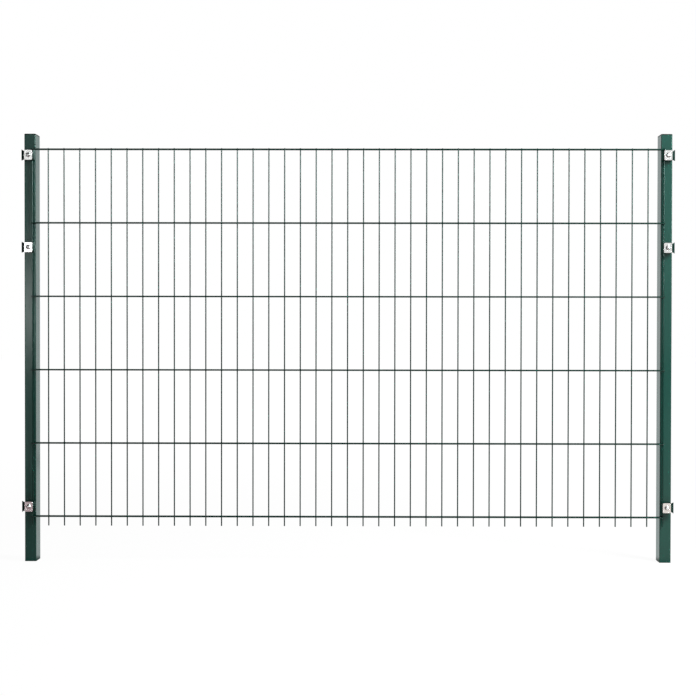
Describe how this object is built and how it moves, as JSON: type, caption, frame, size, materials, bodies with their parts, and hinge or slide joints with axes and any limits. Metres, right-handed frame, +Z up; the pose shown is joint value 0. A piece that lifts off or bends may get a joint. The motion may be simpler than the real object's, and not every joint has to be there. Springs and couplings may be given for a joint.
{
  "type": "welded mesh fence panel",
  "caption": "Fence bay of double-wire welded mesh clipped to the front of rectangular hollow posts with flat caps, wires spiked at the bottom edge.",
  "frame": {"origin": "centre of the left post's foot, on the ground", "axes": "+X along the fence to the right post, +Y away from the side the mesh is on, +Z up"},
  "size_m": [2.064, 0.09, 1.361],
  "materials": {
    "mesh_coating": "moss green powder coat, satin",
    "post_coating": "moss green powder coat, satin",
    "cap_plastic": "moulded, matt",
    "saddle_plastic": "moulded, matt",
    "plate_steel": "bright zinc, satin",
    "bolt_steel": "bright zinc, satin"
  },
  "bodies": {
    "root": {"mesh_panel": "mesh_coating", "left_post": "post_coating", "right_post": "post_coating", "left_post_cap": "cap_plastic", "right_post_cap": "cap_plastic", "left_high_saddle": "saddle_plastic", "left_high_plate": "plate_steel", "left_high_bolt": "bolt_steel", "left_middle_saddle": "saddle_plastic", "left_middle_plate": "plate_steel", "left_middle_bolt": "bolt_steel", "left_low_saddle": "saddle_plastic", "left_low_plate": "plate_steel", "left_low_bolt": "bolt_steel", "right_high_saddle": "saddle_plastic", "right_high_plate": "plate_steel", "right_high_bolt": "bolt_steel", "right_middle_saddle": "saddle_plastic", "right_middle_plate": "plate_steel", "right_middle_bolt": "bolt_steel", "right_low_saddle": "saddle_plastic", "right_low_plate": "plate_steel", "right_low_bolt": "bolt_steel"}
  },
  "joints": []
}
